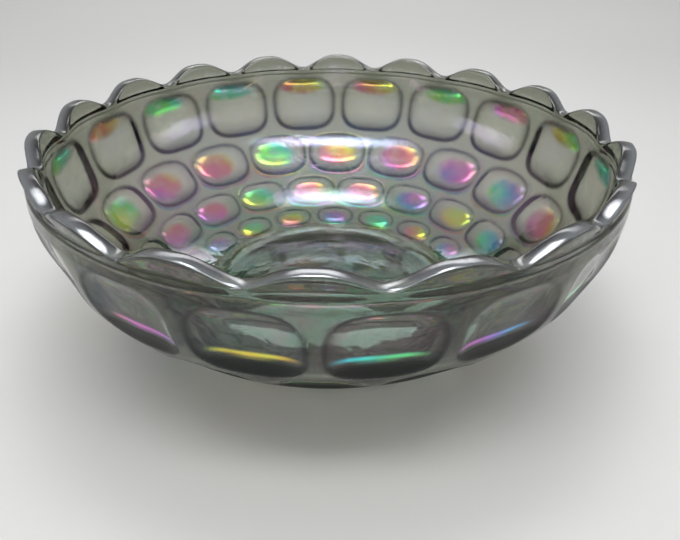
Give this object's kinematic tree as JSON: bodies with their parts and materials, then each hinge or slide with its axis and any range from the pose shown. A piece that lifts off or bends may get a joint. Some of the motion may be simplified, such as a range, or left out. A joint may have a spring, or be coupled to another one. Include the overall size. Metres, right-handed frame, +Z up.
{
  "type": "glass bowl",
  "caption": "Round pressed glass bowl with a scalloped rim, staggered rows of hollow cells round its wall and a low foot ring; smoky glass with a rainbow film.",
  "frame": {"origin": "centre of the foot ring, on the surface that the bowl stands on", "axes": "+Z up along the bowl's axis; a scallop crest lies on -Y"},
  "size_m": [0.248, 0.248, 0.0905],
  "materials": {
    "iridescent_glass": "clear smoke-tinted pressed glass with a fired rainbow film: pink, green, gold and blue in the cells",
    "rim_glass": "clear smoke-tinted pressed glass, fire polished, with a faint silvery film"
  },
  "bodies": {
    "root": {"scalloped_rim": "rim_glass", "rim_bead_collar": "rim_glass", "upper_cell_band": "iridescent_glass", "middle_cell_band": "iridescent_glass", "lower_cell_band": "iridescent_glass", "bottom_cell_band": "iridescent_glass", "base_floor": "iridescent_glass", "foot_ring": "rim_glass"}
  },
  "joints": []
}
